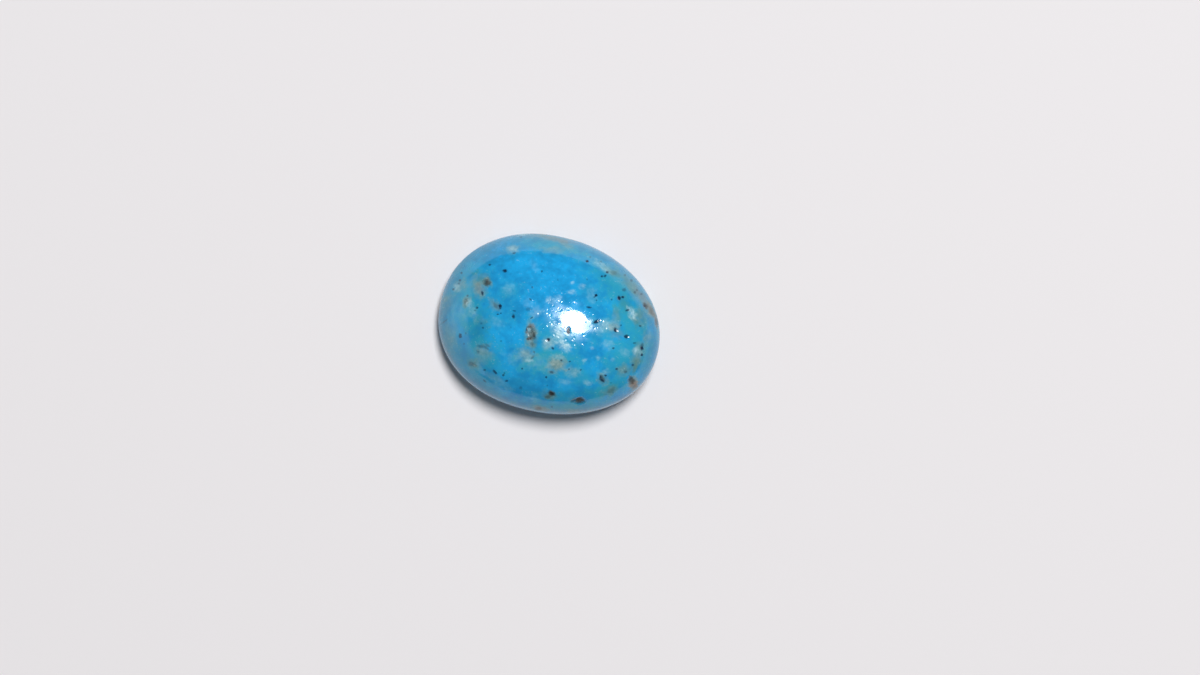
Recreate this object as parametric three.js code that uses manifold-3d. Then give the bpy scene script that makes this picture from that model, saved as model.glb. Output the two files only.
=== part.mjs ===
// Oval turquoise cabochon: one polished stone with a high domed top, a rounded girdle and a flat back.
// Small pits stay in the dome where grains of the brown matrix fell out as it was polished.
// Millimetres, +Z up, +X along the stone. The origin is on the flat back, under the middle of the girdle.
import * as THREE from "three";
import { mergeVertices } from "three/addons/utils/BufferGeometryUtils.js";
import Module from "manifold-3d";

// Driving dimensions
const LENGTH = 18.0;
const WIDTH = 14.2;
const HEIGHT = 6.8;
const GIRDLE_HEIGHT = 1.7; // the widest line, above the flat back
const BACK_INSET = 0.16; // the back's edge is this share of the radius in from the girdle

// The hand-cut outline and dome, seen from above
const FULLNESS = 2.1; // exponent of the oval: 2 is an ellipse, and more is fuller at the shoulders
const TAPER = 0.04; // the +X end is narrower by this share, and the -X end wider
const BOW = 0.024; // both ends bend towards -Y by this share of the half width
const LEAN_X = 1.2; // the top of the dome lies this far from over the middle of the girdle
const LEAN_Y = -0.95;
const LEAN_ROUNDS = 12; // how often a height on the leaning dome is worked out again

// How finely the curved surfaces are divided
const STEPS_AROUND = 96;
const STEPS_DOME = 22;
const STEPS_UNDER_GIRDLE = 6;
const PIT_SIDES = 12;
const PIT_RINGS = 8;

// The colour and polish of the stone
const TURQUOISE_BLUE = 0x1a93cf;
const POLISH_ROUGHNESS = 0.15;

// Each pit: place along and across the stone, length, width, depth, and turn from +X in degrees
const PITS = [
  { x: -1.3, y: -1.05, length: 1.1, width: 0.5, depth: 0.16, turn: 103 }, // the brown hollow by the middle
  { x: -5.65, y: 2.2, length: 0.6, width: 0.5, depth: 0.14, turn: 100 },
  { x: 7.6, y: -3.0, length: 0.65, width: 0.55, depth: 0.16, turn: 60 },
  { x: 3.7, y: -5.5, length: 0.85, width: 0.5, depth: 0.16, turn: 13 },
  { x: 1.4, y: -5.5, length: 0.6, width: 0.5, depth: 0.14, turn: 30 },
  { x: 5.2, y: -3.35, length: 0.65, width: 0.45, depth: 0.14, turn: -60 },
  { x: -4.2, y: 0.5, length: 0.45, width: 0.3, depth: 0.11, turn: 95 },
  { x: 5.1, y: 3.35, length: 0.5, width: 0.35, depth: 0.12, turn: 10 },
  { x: 3.65, y: 1.0, length: 0.5, width: 0.28, depth: 0.11, turn: 25 },
  { x: 1.65, y: -0.15, length: 0.45, width: 0.3, depth: 0.11, turn: 100 },
  { x: 5.35, y: 0.7, length: 0.4, width: 0.3, depth: 0.1, turn: -50 },
  { x: 6.3, y: 0.4, length: 0.4, width: 0.34, depth: 0.1, turn: 0 },
  { x: -4.45, y: 3.4, length: 0.32, width: 0.3, depth: 0.1, turn: 0 },
  { x: -6.8, y: -2.45, length: 0.36, width: 0.26, depth: 0.1, turn: 110 },
  { x: -6.95, y: 0.4, length: 0.45, width: 0.28, depth: 0.1, turn: 130 },
];

// Sizes worked out from the driving dimensions
const HALF_LENGTH = LENGTH / 2;
const HALF_WIDTH = WIDTH / 2;
const DOME_HEIGHT = HEIGHT - GIRDLE_HEIGHT;
const QUARTER_TURN = Math.PI / 2;

const wasm = await Module();
wasm.setup();

// Half the width at a place along the stone, and the middle of that width.
const halfWidthAt = (x) => HALF_WIDTH * (1 - (TAPER * x) / HALF_LENGTH);
const middleAt = (x) => -BOW * HALF_WIDTH * (x / HALF_LENGTH) ** 2;

// How much of the lean a height on the stone has: none at the girdle, all of it at the top, and below the
// girdle some the other way.
const leanShareAt = (height) => (height - GIRDLE_HEIGHT) / DOME_HEIGHT;

// The profile of a round stone of radius 1, from the top of the dome to the middle of the back.
function roundProfile() {
  const points = [];
  for (let i = 0; i <= STEPS_DOME; i++) {
    const angle = (QUARTER_TURN * i) / STEPS_DOME;
    points.push(new THREE.Vector2(Math.sin(angle), GIRDLE_HEIGHT + DOME_HEIGHT * Math.cos(angle)));
  }
  for (let i = 1; i <= STEPS_UNDER_GIRDLE; i++) {
    const angle = (QUARTER_TURN * i) / STEPS_UNDER_GIRDLE;
    const inset = BACK_INSET * (1 - Math.cos(angle));
    points.push(new THREE.Vector2(1 - inset, GIRDLE_HEIGHT * (1 - Math.sin(angle))));
  }
  points[0].x = 0;
  points.at(-1).y = 0;
  points.push(new THREE.Vector2(0, 0));
  return points.reverse();
}

// Draws a round stone of radius 1 out to the oval outline, and leans it.
function stretchToOutline(geometry) {
  const position = geometry.getAttribute("position");
  for (let i = 0; i < position.count; i++) {
    const unitX = position.getX(i);
    const unitY = position.getY(i);
    const radius = Math.hypot(unitX, unitY);
    const oval = (Math.abs(unitX) ** FULLNESS + Math.abs(unitY) ** FULLNESS) ** (1 / FULLNESS);
    const reach = oval > 0 ? radius / oval : 1;
    const x = HALF_LENGTH * unitX * reach;
    const y = halfWidthAt(x) * unitY * reach + middleAt(x);
    const lean = leanShareAt(position.getZ(i));
    position.setXY(i, x + LEAN_X * lean, y + LEAN_Y * lean);
  }
  return geometry;
}

// The height of the dome over a place on the plan, as if it stood upright.
function uprightHeightAt(x, y) {
  const alongShare = Math.abs(x / HALF_LENGTH) ** FULLNESS;
  const acrossShare = Math.abs((y - middleAt(x)) / halfWidthAt(x)) ** FULLNESS;
  const radius = (alongShare + acrossShare) ** (1 / FULLNESS);
  return GIRDLE_HEIGHT + DOME_HEIGHT * Math.sqrt(1 - radius * radius);
}

// The height of the leaning dome over a place on the plan. Each round comes closer to it.
function domeHeightAt(x, y) {
  let height = uprightHeightAt(x, y);
  for (let round = 0; round < LEAN_ROUNDS; round++) {
    const lean = leanShareAt(height);
    height = uprightHeightAt(x - LEAN_X * lean, y - LEAN_Y * lean);
  }
  return height;
}

// The direction that the dome faces over a place on the plan.
function domeNormalAt(x, y) {
  const step = 0.01;
  const slopeX = (domeHeightAt(x + step, y) - domeHeightAt(x - step, y)) / (2 * step);
  const slopeY = (domeHeightAt(x, y + step) - domeHeightAt(x, y - step)) / (2 * step);
  return new THREE.Vector3(-slopeX, -slopeY, 1).normalize();
}

// An ellipsoid centred on the dome, so that its lower half is the pit.
function pitCutter({ x, y, length, width, depth, turn }) {
  const up = new THREE.Vector3(0, 0, 1);
  const facing = new THREE.Quaternion().setFromUnitVectors(up, domeNormalAt(x, y));
  const turned = new THREE.Quaternion().setFromAxisAngle(up, THREE.MathUtils.degToRad(turn));
  const placed = new THREE.Matrix4().compose(
    new THREE.Vector3(x, y, domeHeightAt(x, y)),
    facing.multiply(turned),
    new THREE.Vector3(length / 2, width / 2, depth),
  );
  const ball = new THREE.SphereGeometry(1, PIT_SIDES, PIT_RINGS).rotateX(QUARTER_TURN);
  return ball.applyMatrix4(placed);
}

function toSolid(geometry) {
  const bare = geometry.clone().deleteAttribute("normal").deleteAttribute("uv");
  const merged = mergeVertices(bare);
  const mesh = new wasm.Mesh({
    numProp: 3,
    vertProperties: new Float32Array(merged.getAttribute("position").array),
    triVerts: new Uint32Array(merged.index.array),
  });
  return new wasm.Manifold(mesh);
}

function toGeometry(solid) {
  const { vertProperties, triVerts } = solid.getMesh();
  const geometry = new THREE.BufferGeometry();
  geometry.setAttribute("position", new THREE.BufferAttribute(vertProperties, 3));
  geometry.setIndex(new THREE.BufferAttribute(triVerts, 1));
  geometry.computeVertexNormals();
  return geometry;
}

function turquoiseStone() {
  const round = new THREE.LatheGeometry(roundProfile(), STEPS_AROUND).rotateX(QUARTER_TURN);
  let solid = toSolid(stretchToOutline(round));
  for (const pit of PITS) {
    solid = solid.subtract(toSolid(pitCutter(pit)));
  }
  const polished = new THREE.MeshStandardMaterial({
    color: TURQUOISE_BLUE,
    roughness: POLISH_ROUGHNESS,
    metalness: 0,
  });
  const stone = new THREE.Mesh(toGeometry(solid), polished);
  stone.name = "turquoise_stone";
  return stone;
}

const cabochon = new THREE.Group();
cabochon.add(turquoiseStone());

export default cabochon;
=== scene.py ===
# An oval turquoise cabochon that lies on its flat back, seen from straight above.
# Metres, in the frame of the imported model: +Z up, +X along the stone, the origin on its flat back.
import math
import random
from collections import namedtuple
from functools import partial

import bpy
from mathutils import Matrix, Vector


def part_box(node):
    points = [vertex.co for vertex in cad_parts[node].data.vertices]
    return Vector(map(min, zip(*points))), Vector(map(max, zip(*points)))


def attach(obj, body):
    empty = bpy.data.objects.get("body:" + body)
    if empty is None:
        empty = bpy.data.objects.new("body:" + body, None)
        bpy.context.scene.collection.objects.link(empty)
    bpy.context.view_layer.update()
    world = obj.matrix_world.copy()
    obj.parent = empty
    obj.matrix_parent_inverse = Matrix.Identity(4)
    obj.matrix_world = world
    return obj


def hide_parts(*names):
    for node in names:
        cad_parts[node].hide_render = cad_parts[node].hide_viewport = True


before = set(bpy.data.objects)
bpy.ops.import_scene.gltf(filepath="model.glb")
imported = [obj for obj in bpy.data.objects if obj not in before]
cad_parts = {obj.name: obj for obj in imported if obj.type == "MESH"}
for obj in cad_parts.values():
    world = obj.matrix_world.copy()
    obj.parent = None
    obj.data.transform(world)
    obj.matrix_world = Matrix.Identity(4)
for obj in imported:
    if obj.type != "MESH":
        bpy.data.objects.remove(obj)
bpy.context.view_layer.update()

# The view
# The photograph looks straight down on the dome from about a quarter of a metre. The stone lies left of
# the middle of the frame, with its length turned a little clockwise.
MM = 0.001
PHOTO_WIDTH = 1200
PHOTO_HEIGHT = 675
STONE_MIDDLE_PX = (549.3, 324.3)  # the middle of the girdle in the photograph
OUTLINE_LENGTH_PX = 223.5
STONE_TURN = math.radians(12.7)
VIEW_DISTANCE = 250 * MM
NEAREST_SEEN = 1 * MM
SENSOR_WIDTH_MM = 36.0
GIRDLE_HEIGHT = 1.7 * MM  # the widest line, above the flat back

stone_low, stone_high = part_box("turquoise_stone")
PIXEL = (stone_high.x - stone_low.x) / OUTLINE_LENGTH_PX

PICTURE_RIGHT = Vector((math.cos(STONE_TURN), math.sin(STONE_TURN), 0))
PICTURE_UP = Vector((-math.sin(STONE_TURN), math.cos(STONE_TURN), 0))
UP = Vector((0, 0, 1))


def photo_point(x, y):
    """The point at the girdle's height that a pixel of the photograph shows."""
    right = (x - STONE_MIDDLE_PX[0]) * PIXEL
    up = (STONE_MIDDLE_PX[1] - y) * PIXEL
    return PICTURE_RIGHT * right + PICTURE_UP * up + UP * GIRDLE_HEIGHT


EYE = photo_point(PHOTO_WIDTH / 2, PHOTO_HEIGHT / 2) + UP * VIEW_DISTANCE

camera_data = bpy.data.cameras.new("camera")
camera_data.sensor_width = SENSOR_WIDTH_MM
camera_data.lens = SENSOR_WIDTH_MM * VIEW_DISTANCE / (PHOTO_WIDTH * PIXEL)
camera_data.clip_start = NEAREST_SEEN
camera = bpy.data.objects.new("camera", camera_data)
camera.location = EYE
camera.rotation_euler = (0, 0, STONE_TURN)
bpy.context.scene.collection.objects.link(camera)
bpy.context.scene.camera = camera

# The turquoise stone
# One piece of turquoise, ground to an oval dome over a flat back and polished. The brown matrix, pale clouds
# and dark grains of the rock are still in it, and the softer ones have worn to shallow pits.
STONE_LENGTH = 18.0 * MM
STONE_WIDTH = 14.2 * MM
STONE_HEIGHT = stone_high.z - stone_low.z
BACK_INSET = 0.16  # the back's edge is this share of the radius in from the girdle
FULLNESS = 2.1  # exponent of the oval: 2 is an ellipse, and more is fuller at the shoulders
TAPER = 0.04  # the +X end is narrower by this share, and the -X end wider
BOW = 0.024  # both ends bend towards -Y by this share of the half width
LEAN_X = 1.2 * MM  # the top of the dome lies this far from over the middle of the girdle
LEAN_Y = -0.95 * MM
HAND_CUT_DEPTH = 0.05 * MM
HAND_CUT_SPAN = 6 * MM
RING_DIVISIONS = 313  # points along each edge of the grid that becomes the stone
GRID_SPAN = 2  # so that the grid's rings run from 0 to 1
DOME_SHARE = 0.84  # the rings up to here are the dome
SIDE_SHARE = 0.90  # from there up to here the side under the girdle, and the rest is the back
WELD_DISTANCE = 0.0001 * MM
QUARTER_TURN = math.pi / 2
EIGHTH_TURN = math.pi / 4
NOISE_MIDDLE = 0.5


def add_node(tree, kind, *values, sockets=None, **settings):
    """Adds one node. Values fill its inputs in order, and sockets fill them by identifier. A value that is
    a node or a socket is linked."""
    node = tree.nodes.new(kind)
    for name, setting in settings.items():
        setattr(node, name, setting)
    inputs = {socket.identifier: socket for socket in node.inputs}
    filled = list(zip(node.inputs, values))
    filled += [(inputs[identifier], value) for identifier, value in (sockets or {}).items()]
    for socket, value in filled:
        if isinstance(value, bpy.types.Node):
            value = next(output for output in value.outputs if output.enabled)
        if isinstance(value, bpy.types.NodeSocket):
            tree.links.new(value, socket)
        elif value is not None:
            socket.default_value = value
    return node


def new_shape_tree(name, **inputs):
    """A Geometry Nodes tree with a geometry input and output, and an input of its kind for each name."""
    tree = bpy.data.node_groups.new(name, "GeometryNodeTree")
    tree.interface.new_socket("Geometry", in_out="INPUT", socket_type="NodeSocketGeometry")
    for label, kind in inputs.items():
        tree.interface.new_socket(label, in_out="INPUT", socket_type="NodeSocket" + kind)
    tree.interface.new_socket("Geometry", in_out="OUTPUT", socket_type="NodeSocketGeometry")
    return tree


def add_modifier(piece, tree, **values):
    """Puts a tree on a piece and sets its inputs by their identifiers."""
    modifier = piece.modifiers.new(tree.name, "NODES")
    modifier.node_group = tree
    for item in tree.interface.items_tree:
        if item.in_out == "INPUT" and item.name in values:
            modifier[item.identifier] = values[item.name]


def stone_form_tree():
    """The dome, girdle and back. The square rings of a grid become the oval rings of the stone."""
    tree = new_shape_tree(
        "stone_form", length="Float", width="Float", height="Float", girdle="Float", inset="Float",
        fullness="Float", taper="Float", bow="Float", lean_x="Float", lean_y="Float", hand_cut="Float",
        hand_cut_span="Float", divisions="Int",
    )
    add = partial(add_node, tree)
    size = add("NodeGroupInput").outputs

    # Each point of the grid has a ring, from 0 at the top to 1 in the middle of the back, and a direction.
    grid = add("GeometryNodeMeshGrid", GRID_SPAN, GRID_SPAN, size["divisions"], size["divisions"])
    square = add("ShaderNodeSeparateXYZ", add("GeometryNodeInputPosition")).outputs
    span_x = add("ShaderNodeMath", square["X"], operation="ABSOLUTE")
    span_y = add("ShaderNodeMath", square["Y"], operation="ABSOLUTE")
    ring = add("ShaderNodeMath", span_x, span_y, operation="MAXIMUM")
    lesser_span = add("ShaderNodeMath", span_x, span_y, operation="MINIMUM")
    corner_share = add("ShaderNodeMath", lesser_span, ring, operation="DIVIDE")
    corner_turn = add("ShaderNodeMath", corner_share, EIGHTH_TURN, operation="MULTIPLY")
    lesser = add("ShaderNodeMath", corner_turn, operation="TANGENT")
    on_end = add("ShaderNodeMath", span_x, span_y, operation="GREATER_THAN")
    missing = add("ShaderNodeMath", 1, lesser, operation="SUBTRACT")
    size_x = add("ShaderNodeMath", on_end, missing, lesser, operation="MULTIPLY_ADD")
    missing_y = add("ShaderNodeMath", on_end, missing, operation="MULTIPLY")
    size_y = add("ShaderNodeMath", 1, missing_y, operation="SUBTRACT")
    sign_x = add("ShaderNodeMath", square["X"], operation="SIGN")
    sign_y = add("ShaderNodeMath", square["Y"], operation="SIGN")
    direction_x = add("ShaderNodeMath", size_x, sign_x, operation="MULTIPLY")
    direction_y = add("ShaderNodeMath", size_y, sign_y, operation="MULTIPLY")
    lesser_power = add("ShaderNodeMath", lesser, size["fullness"], operation="POWER")
    both_powers = add("ShaderNodeMath", 1, lesser_power, operation="ADD")
    root = add("ShaderNodeMath", 1, size["fullness"], operation="DIVIDE")
    oval = add("ShaderNodeMath", both_powers, root, operation="POWER")

    # The profile, from the top over the dome, round under the girdle and in along the back.
    dome = add("ShaderNodeMapRange", ring, 0, DOME_SHARE, 0, QUARTER_TURN)
    under = add("ShaderNodeMapRange", ring, DOME_SHARE, SIDE_SHARE, 0, QUARTER_TURN)
    back = add("ShaderNodeMapRange", ring, SIDE_SHARE, 1, 1, 0)
    dome_reach = add("ShaderNodeMath", dome, operation="SINE")
    under_cosine = add("ShaderNodeMath", under, operation="COSINE")
    tuck = add("ShaderNodeMath", 1, under_cosine, operation="SUBTRACT")
    tuck = add("ShaderNodeMath", size["inset"], tuck, operation="MULTIPLY")
    reach = add("ShaderNodeMath", dome_reach, tuck, operation="SUBTRACT")
    reach = add("ShaderNodeMath", reach, back, operation="MULTIPLY")
    reach = add("ShaderNodeMath", reach, oval, operation="DIVIDE")
    under_sine = add("ShaderNodeMath", under, operation="SINE")
    side_height = add("ShaderNodeMath", 1, under_sine, operation="SUBTRACT")
    side_height = add("ShaderNodeMath", side_height, size["girdle"], operation="MULTIPLY")
    dome_height = add("ShaderNodeMath", size["height"], size["girdle"], operation="SUBTRACT")
    dome_cosine = add("ShaderNodeMath", dome, operation="COSINE")
    height = add("ShaderNodeMath", dome_height, dome_cosine, side_height, operation="MULTIPLY_ADD")

    # The plan: an oval that tapers to one end and bows to one side. The stone leans about its girdle.
    along = add("ShaderNodeMath", reach, direction_x, operation="MULTIPLY")
    taper = add("ShaderNodeMath", size["taper"], along, operation="MULTIPLY")
    narrowing = add("ShaderNodeMath", 1, taper, operation="SUBTRACT")
    across = add("ShaderNodeMath", reach, direction_y, operation="MULTIPLY")
    across = add("ShaderNodeMath", across, narrowing, operation="MULTIPLY")
    along_squared = add("ShaderNodeMath", along, along, operation="MULTIPLY")
    bowing = add("ShaderNodeMath", size["bow"], along_squared, operation="MULTIPLY")
    across = add("ShaderNodeMath", across, bowing, operation="SUBTRACT")
    half_length = add("ShaderNodeMath", size["length"], 2, operation="DIVIDE")
    half_width = add("ShaderNodeMath", size["width"], 2, operation="DIVIDE")
    x = add("ShaderNodeMath", along, half_length, operation="MULTIPLY")
    y = add("ShaderNodeMath", across, half_width, operation="MULTIPLY")
    above_girdle = add("ShaderNodeMath", height, size["girdle"], operation="SUBTRACT")
    lean_share = add("ShaderNodeMath", above_girdle, dome_height, operation="DIVIDE")
    x = add("ShaderNodeMath", lean_share, size["lean_x"], x, operation="MULTIPLY_ADD")
    y = add("ShaderNodeMath", lean_share, size["lean_y"], y, operation="MULTIPLY_ADD")
    point = add("ShaderNodeCombineXYZ", x, y, height)
    form = add("GeometryNodeSetPosition", grid, None, point)
    form = add("GeometryNodeMergeByDistance", form, sockets={"Distance": WELD_DISTANCE})

    # The dome was ground by hand on a wheel, so that its curve is a little uneven above the flat back.
    place = add("GeometryNodeInputPosition")
    scale = add("ShaderNodeMath", 1, size["hand_cut_span"], operation="DIVIDE")
    uneven = add("ShaderNodeTexNoise", sockets={"Vector": place, "Scale": scale, "Detail": 1.0})
    uneven = add("ShaderNodeMath", uneven, NOISE_MIDDLE, operation="SUBTRACT")
    level = add("ShaderNodeSeparateXYZ", place).outputs["Z"]
    above_back = add("ShaderNodeMapRange", level, 0, size["girdle"], 0, size["hand_cut"])
    swell = add("ShaderNodeMath", uneven, above_back, operation="MULTIPLY")
    facing = add("GeometryNodeInputNormal")
    offset = add("ShaderNodeVectorMath", facing, None, None, swell, operation="SCALE")
    form = add("GeometryNodeSetPosition", form, None, None, offset)
    add("NodeGroupOutput", form)
    return tree


# Where the marks are, read from the photograph in its pixels: middle, length, width, turn in degrees
# clockwise, and strength.
Mark = namedtuple("Mark", "x y length width turn strength")

# Greener clouds in the blue. The last three also paint light on the lower and left rim, which turns away
# from the lamp.
TEAL_CLOUDS_AND_PAINTED_LIGHT = (
    Mark(466, 299, 64, 38, 80, 0.85),
    Mark(629, 318, 90, 26, 68, 0.9),
    Mark(614, 284, 64, 30, 45, 0.8),
    Mark(622, 358, 56, 30, 110, 0.8),
    Mark(547, 360, 52, 28, 0, 1),
    Mark(606, 332, 30, 24, 0, 0.7),
    Mark(556, 340, 40, 24, 30, 0.7),
    Mark(606, 390, 44, 18, -30, 0.9),
    Mark(556, 398, 36, 12, 5, 0.5),
    Mark(484, 356, 40, 26, 50, 0.8),
    Mark(556, 246, 60, 16, 12, 0.8),
    Mark(574, 376, 40, 18, 10, 0.7),
    Mark(494, 320, 34, 18, 10, 0.4),
    Mark(508, 290, 20, 16, 0, 0.5),
    Mark(594, 294, 30, 18, 60, 0.4),
    Mark(520, 382, 30, 10, 10, 0.25),
    Mark(588, 284, 24, 12, 20, 0.15),
    # Painted light along the lower and left rim, over greener rock.
    Mark(566, 408, 110, 16, -1, 0.9),
    Mark(474, 374, 70, 18, 40, 0.6),
    Mark(452, 352, 50, 20, 75, 0.6),
)
# Chalky clouds and specks, and a painted sheen beside the highlight.
PALE_CLOUDS_AND_PAINTED_SHEEN = (
    Mark(508.5, 289, 9, 8, 90, 0.18),
    Mark(534, 265, 10, 5, 60, 0.1),
    Mark(582.3, 286, 5, 4, 0, 0.35),
    Mark(572.6, 282.5, 4, 2.4, -30, 0.4),
    Mark(571.3, 292, 6, 3, 0, 0.35),
    Mark(549.5, 300, 6, 5, 0, 0.4),
    Mark(557.5, 298, 7, 4, 0, 0.3),
    Mark(535.5, 312, 10, 8, 90, 0.22),
    Mark(527.5, 303, 8, 7, 90, 0.12),
    Mark(469.5, 304, 7, 5, 70, 0.55),
    Mark(473, 313, 14, 7, 70, 0.22),
    Mark(457, 287, 7, 6, 0, 0.4),
    Mark(497.5, 323, 12, 8, 20, 0.12),
    Mark(482, 320, 8, 6, 0, 0.06),
    Mark(526.5, 355, 15, 12, 20, 0.14),
    Mark(529, 360.5, 7, 2.6, 0, 0.4),
    Mark(522, 353, 4, 6, 0, 0.25),
    Mark(540, 363, 26, 12, 0, 0.12),
    Mark(515, 358, 16, 10, 10, 0.12),
    Mark(556, 357, 10, 4, 0, 0.25),
    # These five beside the highlight are chalk and also a painted sheen of the lamp.
    Mark(557, 331, 12, 10, 70, 0.7),
    Mark(563, 346, 14, 7, 30, 0.85),
    Mark(549, 343.5, 11, 9, 0, 0.25),
    Mark(604, 325, 18, 9, 10, 0.28),
    Mark(598, 330, 14, 8, 20, 0.22),
    Mark(528.7, 330, 3, 2.8, 0, 0.6),
    Mark(636, 350, 6, 4, 100, 0.5),
    Mark(607, 344.5, 9, 8, 0, 0.22),
    Mark(566, 381.5, 10, 6, 0, 0.18),
    Mark(571, 373, 10, 8, 0, 0.2),
    Mark(588, 383, 7, 3.4, 20, 0.3),
    Mark(602, 265.5, 17, 5.5, 35, 0.32),
    Mark(592, 294, 10, 7, 90, 0.15),
    Mark(625, 352, 8, 6, 30, 0.18),
    Mark(637, 353, 7, 6, 0, 0.3),
    Mark(598, 358, 3.5, 3, 0, 0.25),
    Mark(612.5, 359.5, 4, 3, 0, 0.2),
    Mark(592, 348.5, 3, 2.8, 0, 0.4),
    Mark(585, 360, 4, 2.4, -30, 0.3),
    Mark(513, 249, 7, 6, 0, 0.3),
    Mark(534, 398, 9, 6, 0, 0.12),
    Mark(631.5, 313, 10, 5.5, 68, 0.8),
    Mark(606, 372, 6, 5, 0, 0.25),
    Mark(459, 311, 16, 10, 30, 0.1),
)
# Grey, sandy matrix.
SANDY_PATCHES = (
    Mark(531, 334.5, 18, 9, 88, 0.9),
    Mark(532, 344, 9, 7, 80, 0.5),
    Mark(513, 249, 10, 8, 0, 0.5),
    Mark(528, 354, 10, 8, 10, 0.5),
    Mark(616.5, 320, 18, 7, 85, 0.28),
    Mark(487, 282.5, 9, 7, 80, 0.9),
    Mark(478.5, 288, 17, 13, 70, 0.55),
    Mark(484, 276, 9, 5, 0, 0.25),
    Mark(460.5, 285, 13, 11, 0, 0.45),
    Mark(466, 302, 10, 6, 110, 0.7),
    Mark(495, 305.5, 14, 7, 42, 0.5),
    Mark(633.5, 383.5, 13, 10, 60, 0.9),
    Mark(578, 401, 17, 9, 0, 0.15),
    Mark(549.5, 396, 14, 9, 10, 0.35),
    Mark(603, 379, 12, 8, 60, 0.5),
    Mark(557, 364.5, 15, 11.5, 10, 1),
    Mark(527, 354.5, 13, 11, 0, 0.6),
    Mark(484, 352, 15, 12, 0, 0.6),
    Mark(480, 360, 18, 10, 140, 0.35),
    Mark(472, 365, 9, 8, 0, 0.25),
    Mark(646, 339, 15, 7, 110, 0.5),
    Mark(637.5, 356, 27, 9, 112, 0.4),
    Mark(624, 370, 13, 9, -10, 0.45),
    Mark(650.5, 309, 22, 10, 58, 0.75),
    Mark(640, 318, 15, 10, 90, 0.3),
    Mark(637, 290, 44, 16, 50, 0.42),
    Mark(614, 270, 22, 8, 30, 0.25),
    Mark(564, 243.5, 18, 8, 35, 0.5),
    Mark(553, 250, 18, 7, 0, 0.35),
    Mark(548, 237, 40, 6, 5, 0.4),
    Mark(614, 273, 8, 5, 10, 0.15),
    Mark(610, 391, 14, 8, -30, 0.3),
    Mark(573, 371.5, 12, 7, 30, 0.3),
    Mark(450, 335, 24, 13, 80, 0.3),
    Mark(448, 304, 18, 9, 110, 0.3),
    Mark(540, 408.8, 15, 7, 10, 0.5),
    Mark(575, 411, 14, 5, 0, 0.5),
    Mark(552, 372, 7, 5, 0, 0.5),
    Mark(549, 343, 10, 8, 0, 0.4),
    Mark(606, 326, 14, 7, 10, 0.25),
    Mark(614, 328, 10, 8, 40, 0.75),
    Mark(616, 334, 14, 8, 20, 0.4),
    Mark(634, 318, 11, 6, 70, 0.5),
    Mark(498, 381, 22, 9, 35, 0.3),
    Mark(451, 339, 9, 8, 0, 0.4),
    Mark(446, 300, 8, 7, 0, 0.4),
    Mark(454, 326, 14, 8, 60, 0.2),
)
# Dark brown matrix, which the polishing wore to hollows.
BROWN_PATCHES = (
    Mark(531.5, 334, 15, 7, 88, 0.6),
    Mark(534, 335.5, 7, 3, 75, 0.9),
    Mark(532, 331.5, 6, 2.6, 80, 0.8),
    Mark(529.5, 338.5, 6, 2.8, -10, 1),
    Mark(526.6, 330.5, 6, 2.4, 100, 0.9),
    Mark(529.5, 327, 5, 2.2, 0, 0.8),
    Mark(532, 344, 5, 4, 80, 0.4),
    Mark(487, 282.5, 7.5, 6.5, 80, 0.8),
    Mark(631.5, 380.5, 8, 6, 60, 0.9),
    Mark(635, 386, 6, 5, 60, 0.3),
    Mark(579.5, 400.8, 11, 7, 0, 1),
    Mark(573, 401.4, 5, 3, 0, 0.6),
    Mark(551.3, 394, 6.5, 5.5, 20, 1),
    Mark(548, 397, 6, 4, 0, 0.5),
    Mark(602, 379, 8, 4.5, 70, 0.75),
    Mark(485.5, 347.5, 8, 2.5, 35, 0.4),
    Mark(472, 364.5, 8, 4.5, 10, 0.5),
    Mark(532.5, 357.5, 5, 2, -50, 0.5),
    Mark(534, 352, 3, 2, 60, 0.5),
    Mark(645.5, 306, 6, 4, 54, 0.7),
    Mark(652, 312, 10, 5, 60, 0.4),
    Mark(656.5, 322, 8, 3, 85, 0.6),
    Mark(466, 301, 6, 3, 110, 0.6),
    Mark(538.5, 408.8, 6, 4, 0, 0.6),
    Mark(642, 345.5, 5, 3, 120, 0.5),
    Mark(496, 306, 8, 4, 42, 0.45),
    Mark(614, 273, 6, 3.5, 10, 0.35),
    Mark(611, 391, 8, 5, -30, 0.3),
    Mark(568.3, 330.5, 7, 3.4, 95, 1),
    Mark(480.5, 346.5, 7, 3, 0, 0.45),
    Mark(487.5, 345.5, 6, 2.4, 30, 0.4),
    Mark(478, 351.5, 4, 3, 60, 0.35),
)
# Olive stains in the blue beside the matrix.
OLIVE_STAINS = (
    Mark(482, 322, 12, 9, 20, 0.3),
    Mark(480, 279, 22, 12, 20, 0.5),
    Mark(533, 344, 9, 9, 80, 0.5),
    Mark(549, 397, 12, 7, 0, 0.6),
    Mark(603, 380, 9, 8, 60, 0.3),
    Mark(624, 370, 12, 9, -10, 0.4),
    Mark(636, 363, 16, 7, 112, 0.8),
    Mark(610, 391, 14, 8, -30, 0.5),
    Mark(640, 317, 14, 10, 90, 0.5),
    Mark(638, 352, 18, 8, 105, 0.4),
    Mark(614, 273, 14, 7, 20, 0.5),
    Mark(629, 285, 20, 8, 50, 0.4),
    Mark(466, 303, 9, 6, 110, 0.4),
    Mark(625, 305, 18, 10, 60, 0.35),
    Mark(472, 362, 12, 8, 0, 0.4),
    Mark(617.5, 313, 9, 7, 60, 0.3),
    Mark(636.5, 322, 9, 7, 90, 0.5),
)
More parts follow.
